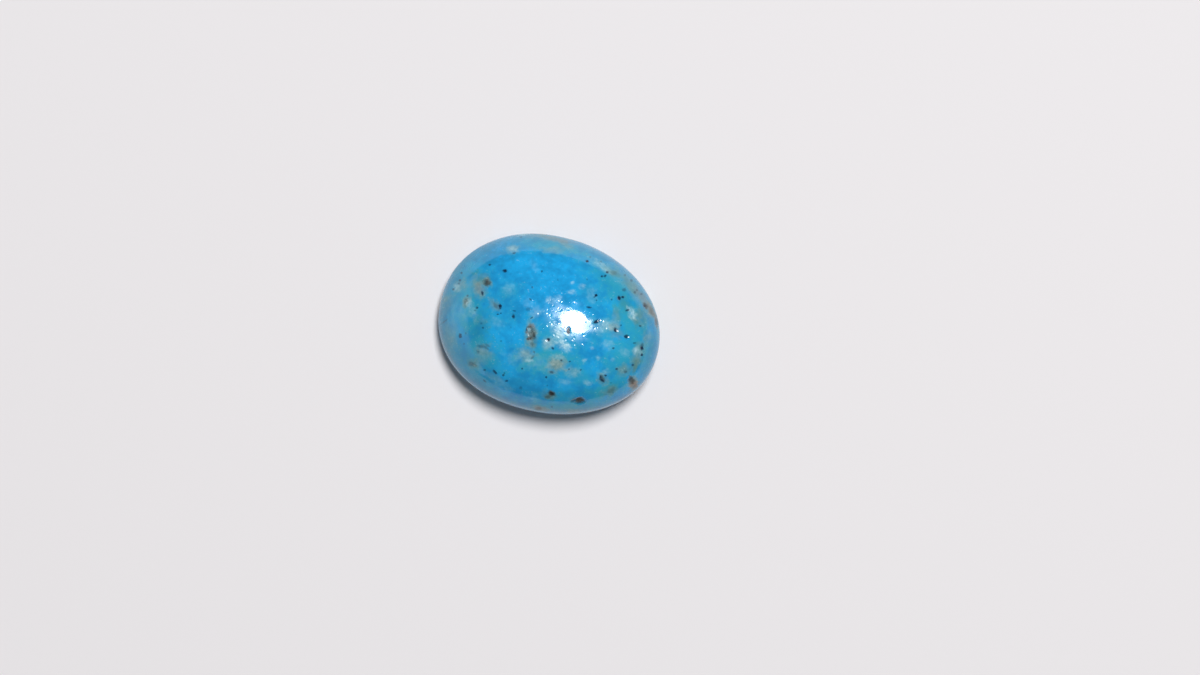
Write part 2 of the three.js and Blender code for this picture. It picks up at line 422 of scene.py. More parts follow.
# Matrix that iron stained to a rusty brown.
RUST_PATCHES = (
    Mark(634.5, 384.5, 10, 8, 60, 1),
    Mark(646, 305.5, 8, 5, 54, 0.5),
    Mark(651.5, 311, 18, 6, 60, 0.5),
    Mark(656, 321, 12, 4, 82, 0.5),
    Mark(487, 282.3, 4, 3, 80, 0.4),
    Mark(479, 289, 10, 7, 70, 0.3),
    Mark(531.5, 326, 6, 4, 0, 0.5),
    Mark(642, 296, 18, 6, 50, 0.3),
    Mark(541, 409, 10, 4, 10, 0.2),
    Mark(560, 240, 30, 4, 12, 0.3),
)
# Painted shade: darker patches of blue, most of them where the dome turns down.
PAINTED_SHADE_PATCHES = (
    Mark(476, 331, 46, 20, 92, 1),
    Mark(466, 354, 34, 16, 50, 0.9),
    Mark(644, 328, 28, 9, 78, 1),
    Mark(649, 352, 46, 12, 106, 1),
    Mark(636, 362, 18, 7, 112, 0.8),
    Mark(546, 394, 40, 8, 6, 0.5),
    Mark(578, 394, 50, 8, -4, 0.6),
    Mark(507, 306, 40, 16, 40, 0.3),
    Mark(626, 290, 60, 24, 52, 0.6),
    Mark(632, 308, 40, 18, 70, 0.6),
    Mark(616, 322, 26, 10, 80, 0.5),
    Mark(616, 388, 30, 10, -30, 0.6),
    Mark(648, 318, 22, 10, 70, 0.9),
)
# Where the flank took less polish.
DULL_FLANKS = (
    Mark(628, 282, 70, 20, 45, 0.7),
)
# Where tiny pits break up the polish.
WORN_PATCHES = (
    Mark(557, 309, 18, 14, 120, 0.85),
    Mark(547, 316, 26, 12, 70, 0.7),
    Mark(563, 334, 16, 9, 30, 1),
    Mark(573, 339, 26, 10, 8, 1),
    Mark(588, 327, 16, 9, 20, 1),
    Mark(597, 329, 12, 7, 20, 0.8),
    Mark(536, 312, 18, 10, 90, 0.6),
    Mark(550, 342, 14, 10, 0, 0.6),
    Mark(562, 347, 14, 8, 30, 0.6),
    Mark(603, 327, 12, 8, 0, 0.6),
    Mark(577, 304, 12, 5, 0, 0.5),
)
# Dark holes that grains fell out of.
OPEN_GRAINS = (
    Mark(596.5, 321.5, 6.4, 3.4, -20, 1),
    Mark(615.8, 330, 4.8, 3.4, 50, 1),
    Mark(626.6, 336.8, 4.4, 4, 0, 0.9),
    Mark(548.3, 339.8, 3.6, 3.2, 0, 1),
    Mark(642.1, 348.3, 4, 3, 90, 1),
    Mark(513.3, 316.5, 4.6, 2.6, 80, 0.9),
    Mark(619.3, 297.8, 4.4, 3.6, 90, 1),
)
# Dark grains that are flush with the polish.
DARK_GRAINS = (
    Mark(568.3, 330.5, 6, 2.8, 95, 1),
    Mark(504.8, 270.8, 4, 3.6, 0, 1),
    Mark(489.8, 264.9, 2.4, 2.2, 0, 0.8),
    Mark(461.5, 273, 2.4, 2.2, 0, 0.7),
    Mark(460, 280.2, 2.4, 2.2, 0, 0.7),
    Mark(458.7, 283.5, 2.2, 2, 0, 0.5),
    Mark(453.3, 289.4, 2.4, 2.2, 0, 0.7),
    Mark(482.3, 293, 5, 2.2, 75, 0.9),
    Mark(467.6, 295.7, 2, 2, 0, 0.6),
    Mark(477, 307.5, 2.6, 2.4, 0, 0.8),
    Mark(475, 310.5, 1.8, 1.8, 0, 0.5),
    Mark(500, 306.5, 5, 3.4, 75, 1),
    Mark(497.8, 314.3, 2.2, 2, 0, 0.8),
    Mark(501, 313.3, 2, 1.8, 0, 0.7),
    Mark(514, 310.8, 3.6, 1.7, 20, 0.7),
    Mark(530.6, 299.8, 3.6, 1.7, 45, 0.7),
    Mark(528.5, 309.3, 5, 4, 0, 0.4),
    Mark(531.8, 317.7, 3.6, 1.7, -45, 0.7),
    Mark(541.8, 271.3, 2.2, 2, 0, 0.7),
    Mark(557.8, 280, 2, 2, 0, 0.4),
    Mark(532.2, 287.3, 2.2, 2, 30, 0.6),
    Mark(587.2, 261.2, 3, 2.4, 10, 1),
    Mark(590.3, 257, 2, 2, 0, 0.4),
    Mark(601, 261.5, 2, 2, 0, 0.4),
    Mark(607.2, 272.2, 2.6, 2.4, 0, 0.9),
    Mark(601.8, 276.3, 2.4, 2.2, 0, 0.9),
    Mark(605, 276, 3, 2.4, -40, 0.8),
    Mark(587, 279.5, 2, 2, 0, 0.4),
    Mark(596, 295.3, 2.8, 2.6, 0, 1),
    Mark(596.4, 300.3, 1.8, 1.8, 0, 0.6),
    Mark(594.3, 297.2, 2, 1.8, 0, 0.6),
    Mark(624, 289.7, 4, 3.4, 0, 0.5),
    Mark(635, 292.3, 2.6, 2.4, 0, 0.6),
    Mark(637, 290, 2, 2, 0, 0.5),
    Mark(641.5, 294, 2.2, 2, 0, 0.6),
    Mark(622.6, 297.2, 3, 2.6, 0, 1),
    Mark(611.7, 299.5, 2, 2, 0, 0.6),
    Mark(588.8, 307.3, 5, 2, 5, 0.8),
    Mark(627.5, 310, 4, 2.2, -30, 0.8),
    Mark(613.3, 348.2, 2.2, 2, 0, 0.7),
    Mark(641.8, 354.9, 2.6, 2.4, 0, 0.9),
    Mark(634.5, 343, 3, 2, 0, 0.5),
    Mark(632.8, 365, 2.6, 2.4, 0, 0.7),
    Mark(616.5, 369, 2.6, 2.4, 0, 0.8),
    Mark(625.5, 371.8, 3, 3, 0, 0.5),
    Mark(602.2, 380.5, 6, 2, 40, 0.9),
    Mark(605.5, 375.5, 2.4, 2.2, 0, 0.9),
    Mark(600.5, 377, 3, 2, 80, 0.9),
    Mark(611, 382.8, 2, 2, 0, 0.4),
    Mark(580.9, 369.8, 2.2, 2, 0, 0.6),
    Mark(569.7, 361.4, 2.2, 2, 0, 0.7),
    Mark(569.2, 369.2, 2.2, 2, 0, 0.6),
    Mark(561.4, 360.4, 2.2, 2, 0, 0.7),
    Mark(546.2, 377.2, 2.4, 2.2, 0, 0.8),
    Mark(547.4, 385.5, 1.8, 1.8, 0, 0.4),
    Mark(522.2, 368.7, 2.2, 2, 0, 0.7),
    Mark(551.5, 372.2, 4, 2.6, 0, 0.6),
    Mark(552.8, 348.4, 3.4, 2.2, 45, 0.8),
    Mark(501, 341, 2, 2, 0, 0.4),
    Mark(511, 327.5, 2, 2, 0, 0.3),
    Mark(504.5, 373, 1.8, 1.8, 0, 0.5),
    Mark(503.3, 375.3, 2.4, 2.2, 0, 0.7),
    Mark(484.8, 370, 2.6, 2.4, 0, 0.6),
    Mark(495, 372.3, 6, 2.4, 45, 0.8),
    Mark(506.5, 381, 3, 2.2, 0, 0.7),
    Mark(484.5, 380.8, 4, 1.8, 40, 0.6),
    Mark(460.3, 335.7, 4.6, 3, 80, 0.8),
    Mark(465.7, 333.3, 2, 2, 0, 0.4),
    Mark(464, 343.8, 2, 2, 0, 0.4),
    Mark(482.9, 327.7, 2.2, 2, 0, 0.7),
    Mark(481.5, 323.4, 2.2, 2, 0, 0.4),
    Mark(621, 325.3, 2, 2, 0, 0.6),
    Mark(640, 326, 2.4, 2.2, 0, 0.6),
    Mark(645, 306, 2.2, 2, 0, 0.7),
    Mark(625, 275, 2.4, 2, 0, 0.5),
    Mark(631.5, 280.5, 3, 2.4, 90, 0.5),
    Mark(520.8, 387.8, 3, 3, 0, 0.4),
    Mark(514.2, 253, 3.6, 1.8, -15, 0.6),
    Mark(521, 237, 2.4, 2, 0, 0.4),
    Mark(551.8, 406.8, 2.4, 2.2, 0, 0.5),
    Mark(444.5, 321.5, 9, 1.6, -38, 0.4),
)


# A spot is a mark on the stone: the ray that finds its middle, its three axes, each divided by the half size
# along it, its strength and its depth.
Spot = namedtuple("Spot", "eye aim along across through strength depth")
MARK_THICKNESS = 1.0 * MM  # the least half size of a mark through the stone
THICKNESS_SHARE = 1.5  # and that half size as a share of the mark's half width
SPOT_REACH = 2.6  # in half sizes from a spot's middle, past which it leaves the stone as it is
FADE_DISTANCE = 2  # in half sizes, where a spot is no more inside at all
SPOT_EDGE = 0.5  # how far inside a spot its edge is, from 0 at that distance to 1 in the middle
LOBE_SCALE = 1.1
LOBE_STEP = 7.31  # gives each spot lobes of its own
NEAREST_WEIGHT = 0.01  # so small that it only ranks spots that show equally

# How the hidden spots vary: how often one is on the back, and the ranges of their sizes, widths, tilts and
# heights on the side, and strengths.
BACK_EVERY = 3
HIDDEN_SIZES = (0.25, 1)
HIDDEN_WIDTHS = (0.45, 0.9)
HIDDEN_TILTS = (-0.5, 0.1)
HIDDEN_LEVELS = (0.3, 1)
HIDDEN_STRENGTHS = (0.5, 1)


def seen_spot(mark, kind):
    """The spot of a mark in the photograph, on the ray from the camera through its pixel."""
    turn = math.radians(mark.turn)
    along = PICTURE_RIGHT * math.cos(turn) - PICTURE_UP * math.sin(turn)
    across = PICTURE_RIGHT * math.sin(turn) + PICTURE_UP * math.cos(turn)
    half_length = mark.length * PIXEL / 2
    half_width = mark.width * PIXEL / 2
    thickness = max(MARK_THICKNESS, half_width * THICKNESS_SHARE)
    return Spot(
        EYE, photo_point(mark.x, mark.y), along / half_length, across / half_width, UP / thickness,
        mark.strength, half_width * kind.depth_share,
    )


def hidden_spot(number, kind, draw):
    """A drawn spot where the photograph doesn't reach: some are on the back, and the others on the side."""
    turn = draw.uniform(0, math.tau)
    roll = draw.uniform(0, math.tau)
    half_length = kind.longest * draw.uniform(*HIDDEN_SIZES) ** 2
    half_width = half_length * draw.uniform(*HIDDEN_WIDTHS)
    round_side = Vector((math.cos(turn), math.sin(turn), draw.uniform(*HIDDEN_TILTS))).normalized()
    side_aim = UP * GIRDLE_HEIGHT * draw.uniform(*HIDDEN_LEVELS)
    back_reach = math.sqrt(draw.uniform(0, 1)) / 2
    back_aim = Vector((math.cos(turn) * STONE_LENGTH, math.sin(turn) * STONE_WIDTH, 0)) * back_reach
    on_back = number % BACK_EVERY == 0
    outward = -UP if on_back else round_side
    aim = back_aim if on_back else side_aim
    along = outward.orthogonal().normalized()
    along.rotate(Matrix.Rotation(roll, 3, outward))
    return Spot(
        aim + outward * STONE_LENGTH, aim, along / half_length, outward.cross(along) / half_width,
        outward / MARK_THICKNESS, draw.uniform(*HIDDEN_STRENGTHS), half_width * kind.depth_share,
    )


def spots_object(name, spots):
    """A mesh with one loose point for each spot, which carries the spot's values."""
    mesh = bpy.data.meshes.new(name)
    mesh.from_pydata([spot.aim for spot in spots], [], [])
    for field in ("eye", "along", "across", "through"):
        layer = mesh.attributes.new(field, "FLOAT_VECTOR", "POINT")
        layer.data.foreach_set("vector", [value for spot in spots for value in getattr(spot, field)])
    for field in ("strength", "depth"):
        layer = mesh.attributes.new(field, "FLOAT", "POINT")
        layer.data.foreach_set("value", [getattr(spot, field) for spot in spots])
    holder = bpy.data.objects.new(name, mesh)
    bpy.context.scene.collection.objects.link(holder)
    return holder


def stone_marks_tree():
    """Lays spots on the stone where their rays meet it. The named attribute gets three values at a point:
    how far inside a spot it is, the spot's strength, and the rank that chose this spot over others."""
    tree = new_shape_tree(
        "stone_marks", spots="Object", attribute="String", softness="Float", wander="Float",
    )
    add = partial(add_node, tree)
    given = add("NodeGroupInput").outputs

    # The points move along their rays to the stone.
    loose_spots = add("GeometryNodeObjectInfo", given["spots"]).outputs["Geometry"]
    eye = add("GeometryNodeInputNamedAttribute", "eye", data_type="FLOAT_VECTOR")
    aim = add("GeometryNodeInputPosition")
    ray = add("ShaderNodeVectorMath", aim, eye, operation="SUBTRACT")
    meeting = add(
        "GeometryNodeRaycast",
        sockets={"Target Geometry": given["Geometry"], "Source Position": eye, "Ray Direction": ray},
    )
    spots = add("GeometryNodeSetPosition", loose_spots, None, meeting.outputs["Hit Position"])
    count = add("GeometryNodeAttributeDomainSize", spots, component="MESH").outputs["Point Count"]

    # The loop runs once for each spot.
    loop_end = add("GeometryNodeRepeatOutput")
    loop_start = add("GeometryNodeRepeatInput")
    loop_start.pair_with_output(loop_end)
    tree.links.new(count, loop_start.inputs["Iterations"])
    tree.links.new(given["Geometry"], loop_start.inputs["Geometry"])
    number = loop_start.outputs["Iteration"]
    place = add("GeometryNodeInputPosition")
    middle = add("GeometryNodeSampleIndex", spots, place, number, data_type="FLOAT_VECTOR")
    away = add("ShaderNodeVectorMath", place, middle, operation="SUBTRACT")
    shares = []
    for field in ("along", "across", "through"):
        every_axis = add("GeometryNodeInputNamedAttribute", field, data_type="FLOAT_VECTOR")
        axis = add("GeometryNodeSampleIndex", spots, every_axis, number, data_type="FLOAT_VECTOR")
        shares.append(add("ShaderNodeVectorMath", away, axis, operation="DOT_PRODUCT").outputs["Value"])
    every_strength = add("GeometryNodeInputNamedAttribute", "strength", data_type="FLOAT")
    strength = add("GeometryNodeSampleIndex", spots, every_strength, number, data_type="FLOAT")
    every_depth = add("GeometryNodeInputNamedAttribute", "depth", data_type="FLOAT")
    depth = add("GeometryNodeSampleIndex", spots, every_depth, number, data_type="FLOAT")

    # The edge wanders in and out, differently for each spot.
    within = add("ShaderNodeCombineXYZ", *shares)
    distance = add("ShaderNodeVectorMath", within, operation="LENGTH").outputs["Value"]
    near = add("ShaderNodeMath", distance, SPOT_REACH, operation="LESS_THAN")
    own_level = add("ShaderNodeMath", number, LOBE_STEP, operation="MULTIPLY")
    own_place = add("ShaderNodeCombineXYZ", shares[0], shares[1], own_level)
    lobes = add("ShaderNodeTexNoise", sockets={"Vector": own_place, "Scale": LOBE_SCALE, "Detail": 2.0})
    lobes = add("ShaderNodeMath", lobes, NOISE_MIDDLE, operation="SUBTRACT")
    distance = add("ShaderNodeMath", lobes, given["wander"], distance, operation="MULTIPLY_ADD")
    inside = add("ShaderNodeMapRange", distance, 0, FADE_DISTANCE, 1, 0)
    outer_edge = add("ShaderNodeMath", SPOT_EDGE, given["softness"], operation="SUBTRACT")
    inner_edge = add("ShaderNodeMath", SPOT_EDGE, given["softness"], operation="ADD")
    shown = add(
        "ShaderNodeMapRange", inside, outer_edge, inner_edge, 0, 1, interpolation_type="SMOOTHSTEP",
    )
    shown = add("ShaderNodeMath", shown, strength, operation="MULTIPLY")
    sunk = add("ShaderNodeMath", shown, depth, operation="MULTIPLY")

    # The spot that shows most holds at each point, and outside all spots the nearest one.
    rank = add("ShaderNodeMath", inside, NEAREST_WEIGHT, shown, operation="MULTIPLY_ADD")
    this_spot = add("ShaderNodeCombineXYZ", inside, strength, rank)
    so_far = add("GeometryNodeInputNamedAttribute", given["attribute"], data_type="FLOAT_VECTOR")
    rank_so_far = add("ShaderNodeSeparateXYZ", so_far).outputs["Z"]
    wins = add("ShaderNodeMath", rank, rank_so_far, operation="GREATER_THAN")
    holds = add(
        "ShaderNodeMix", data_type="VECTOR",
        sockets={"Factor_Float": wins, "A_Vector": so_far, "B_Vector": this_spot},
    )
    stone = add(
        "GeometryNodeStoreNamedAttribute", loop_start.outputs["Geometry"], near, given["attribute"], holds,
        data_type="FLOAT_VECTOR", domain="POINT",
    )
    sink_so_far = add("GeometryNodeInputNamedAttribute", "sink", data_type="FLOAT")
    sink = add("ShaderNodeMath", sink_so_far, sunk, operation="MAXIMUM")
    stone = add(
        "GeometryNodeStoreNamedAttribute", stone, near, "sink", sink, data_type="FLOAT", domain="POINT",
    )
    tree.links.new(stone.outputs["Geometry"], loop_end.inputs["Geometry"])
    add("NodeGroupOutput", loop_end.outputs["Geometry"])
    return tree


def stone_finish_tree():
    """Sinks the pits into the stone and gives it its material."""
    tree = new_shape_tree("stone_finish", material="Material")
    add = partial(add_node, tree)
    given = add("NodeGroupInput").outputs
    sink = add("GeometryNodeInputNamedAttribute", "sink", data_type="FLOAT")
    inward = add("ShaderNodeMath", sink, -1, operation="MULTIPLY")
    facing = add("GeometryNodeInputNormal")
    offset = add("ShaderNodeVectorMath", facing, None, None, inward, operation="SCALE")
    stone = add("GeometryNodeSetPosition", given["Geometry"], None, None, offset)
    stone = add("GeometryNodeSetShadeSmooth", stone)
    stone = add("GeometryNodeRealizeInstances", stone)
    stone = add("GeometryNodeSetMaterial", stone, None, given["material"])
    add("NodeGroupOutput", stone)
    return tree


# Polished turquoise: an opaque blue copper mineral, waxy under a high polish. The eye sees a deep blue that
# clouds to teal and to chalky white, with sandy, rusty and brown matrix that stays duller, olive stains
# beside it and near-black grains. The rock's real grain is too fine to show, so the crumb is drawn coarser.
# Painted shade darkens the flanks, painted light lifts the lower rim, and a painted sheen lies beside the
# highlight.
DEEP_BLUE = "#148fcb"
CLEAR_BLUE = "#1aaaea"
# Greener rock with painted shade, on the flanks towards the girdle.
SHADED_SKIN_TEAL = "#1c8fae"
# The colour of the painted shade patches.
PAINTED_SHADE_BLUE = "#147ea6"
TEAL_AND_PAINTED_LIGHT = "#2ca2bd"
CHALK_AND_PAINTED_SHEEN = "#b0d9e5"
GREY_SAND = "#6d9193"
PALE_SAND = "#8ba7a5"
DARK_BROWN = "#121d22"
LIGHT_BROWN = "#3f4b4b"
OLIVE = "#457a6c"
RUST = "#8c7c70"
BLACK_GRAIN = "#022a48"
TURQUOISE_IOR = 1.61
CLOUD_SPAN = 2.2 * MM
MOTTLE_SPAN = 0.7 * MM
GRIT_SPAN = 0.3 * MM
CRUMB_SPAN = 0.16 * MM
BLUE_MOTTLE = 0.5
BLUE_GRIT = 0.3
# The greener flank with its painted shade starts at this height.
SHADED_SKIN_TOP = 4.9 * MM
SHADED_SKIN_WANDER = 3 * MM
SHADED_SKIN_SHARE = 0.6
PAINTED_SHADE_SHARE = 0.8
HALO_SHARE = 0.6
FLECK_SHARE = 0.3
NOISE_LOW = 0.35  # most of a noise pattern lies from here
NOISE_HIGH = 0.65  # to here
PALE_THIN = 0.5
PALE_THICK = 1.5
FLECK_CRUMB = (0.6, 0.72)
FLECK_MOTTLE = (0.45, 0.7)
BROWN_CRUMB = (0.45, 0.7)
POLISH_ROUGHNESS = 0.08
MATRIX_ROUGHNESS = 0.3  # this and the next three are added to the polish
WORN_ROUGHNESS = 0.16
FLANK_ROUGHNESS = 0.1
DULL_ROUGHNESS = 0.3
PIT_SPAN = 0.32 * MM
PIT_RADIUS_SHARE = 0.45
PIT_DEPTH = 0.02 * MM
CRUMB_DEPTH = 0.02 * MM


def linear(hex_colour):
    """An sRGB hex colour as linear red, green, blue and alpha."""
    shares = [int(hex_colour[start:start + 2], 16) / 255 for start in (1, 3, 5)]
    return [
        share / 12.92 if share <= 0.04045 else ((share + 0.055) / 1.055) ** 2.4 for share in shares
    ] + [1]


def polished_turquoise():
    """The stone's material. Each kind of mark is an attribute of the mesh, with an edge that the rock's
    grain breaks up."""
    material = bpy.data.materials.new("polished_turquoise")
    material.use_nodes = True
    tree = material.node_tree
    tree.nodes.clear()
    add = partial(add_node, tree)
    place = add("ShaderNodeTexCoord").outputs["Object"]
    cloud = add(
        "ShaderNodeTexNoise",
        sockets={"Vector": place, "Scale": 1 / CLOUD_SPAN, "Detail": 6.0, "Roughness": 0.6},
    )
    mottle = add("ShaderNodeTexNoise", sockets={"Vector": place, "Scale": 1 / MOTTLE_SPAN, "Detail": 2.0})
    grit = add("ShaderNodeTexNoise", sockets={"Vector": place, "Scale": 1 / GRIT_SPAN, "Detail": 3.0})
    crumb = add("ShaderNodeTexNoise", sockets={"Vector": place, "Scale": 1 / CRUMB_SPAN, "Detail": 2.0})
    mottle_shift = add("ShaderNodeMath", mottle, NOISE_MIDDLE, operation="SUBTRACT")
    crumb_shift = add("ShaderNodeMath", crumb, NOISE_MIDDLE, operation="SUBTRACT")

    def mark(attribute, softness, by_mottle, by_crumb, edge=SPOT_EDGE):
        """How much a kind of mark shows. Mottling and crumb move its edge, and its strength thins it."""
        values = add("ShaderNodeAttribute", attribute_name=attribute).outputs["Vector"]
        values = add("ShaderNodeSeparateXYZ", values).outputs
        inside = add("ShaderNodeMath", mottle_shift, by_mottle, values["X"], operation="MULTIPLY_ADD")
        inside = add("ShaderNodeMath", crumb_shift, by_crumb, inside, operation="MULTIPLY_ADD")
        shown = add(
            "ShaderNodeMapRange", inside, edge - softness, edge + softness, 0, 1,
            interpolation_type="SMOOTHSTEP",
        )
        return add("ShaderNodeMath", shown, values["Y"], operation="MULTIPLY")

    # Teal clouds, and painted light on the lower rim.
    teal = mark("teal", softness=0.55, by_mottle=1.7, by_crumb=0.2)
    # How much painted shade lies at each point.
    shade = mark("shade", softness=0.5, by_mottle=1.4, by_crumb=0.2)
    chalk = mark("chalk", softness=0.5, by_mottle=1.2, by_crumb=0.4)
    sand = mark("sand", softness=0.42, by_mottle=0.9, by_crumb=0.2)
    sand_halo = mark("sand", softness=0.35, by_mottle=1.2, by_crumb=0.1, edge=0.25)
    olive = mark("olive", softness=0.45, by_mottle=1.0, by_crumb=0.2)
    rust = mark("rust", softness=0.4, by_mottle=0.8, by_crumb=0.3)
    brown = mark("brown", softness=0.28, by_mottle=0.3, by_crumb=0.5)
    grain = mark("grain", softness=0.22, by_mottle=0.1, by_crumb=0.4)
    worn = mark("worn", softness=0.45, by_mottle=0.8, by_crumb=0.3)
    dull_flank = mark("dull", softness=0.45, by_mottle=1.0, by_crumb=0.1)

    # The blue clouds from deep to clear, and turns greener towards the girdle, where painted shade darkens
    # it.
    mottled = add("ShaderNodeMath", mottle_shift, BLUE_MOTTLE, cloud, operation="MULTIPLY_ADD")
    gritty = add("ShaderNodeMath", grit, BLUE_GRIT, mottled, operation="MULTIPLY_ADD")
    grit_middle = BLUE_GRIT * NOISE_MIDDLE
    blue_share = add("ShaderNodeMapRange", gritty, NOISE_LOW + grit_middle, NOISE_HIGH + grit_middle, 0, 1)
    blue = add(
        "ShaderNodeMix", data_type="RGBA",
        sockets={"Factor_Float": blue_share, "A_Color": linear(DEEP_BLUE), "B_Color": linear(CLEAR_BLUE)},
    )
    level = add("ShaderNodeSeparateXYZ", place).outputs["Z"]
    level = add("ShaderNodeMath", mottle_shift, SHADED_SKIN_WANDER, level, operation="MULTIPLY_ADD")
    shaded_skin = add(
        "ShaderNodeMapRange", level, SHADED_SKIN_TOP, GIRDLE_HEIGHT, 0, SHADED_SKIN_SHARE, interpolation_type="SMOOTHSTEP",
    )
    shade = add("ShaderNodeMath", shade, PAINTED_SHADE_SHARE, operation="MULTIPLY")
    flank = add("ShaderNodeMath", shaded_skin, shade, operation="MAXIMUM")
    halo = add("ShaderNodeMath", sand_halo, HALO_SHARE, operation="MULTIPLY")
    teal = add("ShaderNodeMath", teal, halo, operation="MAXIMUM")

    # The chalk and the painted sheen are gritty, and fine pale flecks sit where the blue is clouded.
    speckle = add("ShaderNodeMapRange", grit, NOISE_LOW, NOISE_HIGH, PALE_THIN, PALE_THICK)
    chalk = add("ShaderNodeMath", chalk, speckle, operation="MULTIPLY")
    fleck = add("ShaderNodeMapRange", crumb, *FLECK_CRUMB, 0, FLECK_SHARE)
    clouded = add("ShaderNodeMapRange", mottle, *FLECK_MOTTLE, 0, 1)
    fleck = add("ShaderNodeMath", fleck, clouded, operation="MULTIPLY")
    chalk = add("ShaderNodeMath", chalk, fleck, operation="MAXIMUM")

    # The sand is gritty too, and the brown has a lighter crumb. Each kind of mark lies over the last.
    sand_share = add("ShaderNodeMapRange", grit, NOISE_LOW, NOISE_HIGH, 0, 1)
    sand_colour = add(
        "ShaderNodeMix", data_type="RGBA",
        sockets={"Factor_Float": sand_share, "A_Color": linear(GREY_SAND), "B_Color": linear(PALE_SAND)},
    )
    brown_share = add("ShaderNodeMapRange", crumb, *BROWN_CRUMB, 0, 1)
    brown_colour = add(
        "ShaderNodeMix", data_type="RGBA",
        sockets={"Factor_Float": brown_share, "A_Color": linear(DARK_BROWN), "B_Color": linear(LIGHT_BROWN)},
    )
    colour = blue
    for share, over in (
        (shaded_skin, linear(SHADED_SKIN_TEAL)), (shade, linear(PAINTED_SHADE_BLUE)), (teal, linear(TEAL_AND_PAINTED_LIGHT)), (olive, linear(OLIVE)),
        (sand, sand_colour), (rust, linear(RUST)), (brown, brown_colour), (chalk, linear(CHALK_AND_PAINTED_SHEEN)),
        (grain, linear(BLACK_GRAIN)),
    ):
        colour = add(
            "ShaderNodeMix", data_type="RGBA",
            sockets={"Factor_Float": share, "A_Color": colour, "B_Color": over},
        )

    # The matrix takes less polish than the blue, and the worn places are dull between their pits.
    dull = add("ShaderNodeMath", sand, brown, operation="MAXIMUM")
    dull = add("ShaderNodeMath", dull, chalk, operation="MAXIMUM")
    roughness = add("ShaderNodeMath", dull, MATRIX_ROUGHNESS, POLISH_ROUGHNESS, operation="MULTIPLY_ADD")
    roughness = add("ShaderNodeMath", worn, WORN_ROUGHNESS, roughness, operation="MULTIPLY_ADD")
    roughness = add("ShaderNodeMath", flank, FLANK_ROUGHNESS, roughness, operation="MULTIPLY_ADD")
    roughness = add("ShaderNodeMath", dull_flank, DULL_ROUGHNESS, roughness, operation="MULTIPLY_ADD")

    # Pits of the worn places: some cells of a pattern have one, and more of them where it is more worn.
    cells = add("ShaderNodeTexVoronoi", sockets={"Vector": place, "Scale": 1 / PIT_SPAN})
    lot = add("ShaderNodeSeparateColor", cells.outputs["Color"]).outputs["Red"]
    pitted = add("ShaderNodeMath", worn, lot, operation="GREATER_THAN")
    pit = add(
        "ShaderNodeMapRange", cells.outputs["Distance"], 0, PIT_RADIUS_SHARE, -1, 0,
        interpolation_type="SMOOTHSTEP",
    )
    pit = add("ShaderNodeMath", pit, pitted, operation="MULTIPLY")
    pit_bump = add("ShaderNodeBump", sockets={"Strength": 1.0, "Distance": PIT_DEPTH, "Height": pit})
    crumbs = add("ShaderNodeMath", crumb, dull, operation="MULTIPLY")
    bump = add(
        "ShaderNodeBump",
        sockets={"Strength": 1.0, "Distance": CRUMB_DEPTH, "Height": crumbs, "Normal": pit_bump},
    )
    shader = add(
        "ShaderNodeBsdfPrincipled",
        sockets={"Base Color": colour, "Roughness": roughness, "IOR": TURQUOISE_IOR, "Normal": bump},
    )
    add("ShaderNodeOutputMaterial", shader)
    return material


# Each kind of mark: its attribute and its marks in the photograph, how many more are drawn where the
# photograph doesn't reach and their longest half length, the softness and wander of its edge, and its depth
# as a share of its half width. The holes and the flush grains share an attribute, and so look alike.
MarkKind = namedtuple("MarkKind", "attribute marks hidden_count longest softness wander depth_share")
MARK_KINDS = (
    MarkKind("teal", TEAL_CLOUDS_AND_PAINTED_LIGHT, 14, 2.4 * MM, 0.4, 1.0, 0.0),
    MarkKind("chalk", PALE_CLOUDS_AND_PAINTED_SHEEN, 24, 0.6 * MM, 0.3, 1.8, 0.0),
    MarkKind("sand", SANDY_PATCHES, 26, 0.8 * MM, 0.25, 1.8, 0.05),
    MarkKind("brown", BROWN_PATCHES, 16, 0.5 * MM, 0.15, 1.4, 0.25),
    MarkKind("olive", OLIVE_STAINS, 12, 0.8 * MM, 0.3, 1.6, 0.0),
    MarkKind("rust", RUST_PATCHES, 8, 0.6 * MM, 0.3, 1.6, 0.0),
    # Painted shade patches.
    MarkKind("shade", PAINTED_SHADE_PATCHES, 8, 2.0 * MM, 0.4, 1.2, 0.0),
    MarkKind("grain", DARK_GRAINS, 50, 0.16 * MM, 0.15, 1.5, 0.0),
    MarkKind("grain", OPEN_GRAINS, 10, 0.2 * MM, 0.15, 0.8, 0.5),
    MarkKind("worn", WORN_PATCHES, 8, 1.5 * MM, 0.4, 1.4, 0.0),
    MarkKind("dull", DULL_FLANKS, 10, 3.0 * MM, 0.4, 1.0, 0.0),
)
SEED = 7

draw = random.Random(SEED)
stone = bpy.data.objects.new("stone", bpy.data.meshes.new("stone_start"))
bpy.context.scene.collection.objects.link(stone)
add_modifier(
    stone, stone_form_tree(), length=STONE_LENGTH, width=STONE_WIDTH, height=STONE_HEIGHT,
    girdle=GIRDLE_HEIGHT, inset=BACK_INSET, fullness=FULLNESS, taper=TAPER, bow=BOW, lean_x=LEAN_X,
    lean_y=LEAN_Y, hand_cut=HAND_CUT_DEPTH, hand_cut_span=HAND_CUT_SPAN, divisions=RING_DIVISIONS,
)
marks_tree = stone_marks_tree()
spot_holders = []
for kind in MARK_KINDS:
    spots = [seen_spot(mark, kind) for mark in kind.marks]
    spots += [hidden_spot(number, kind, draw) for number in range(kind.hidden_count)]
    holder = spots_object(kind.attribute + "_spots", spots)
    spot_holders.append(holder)
    add_modifier(
        stone, marks_tree, spots=holder, attribute=kind.attribute, softness=kind.softness,
        wander=kind.wander,
    )
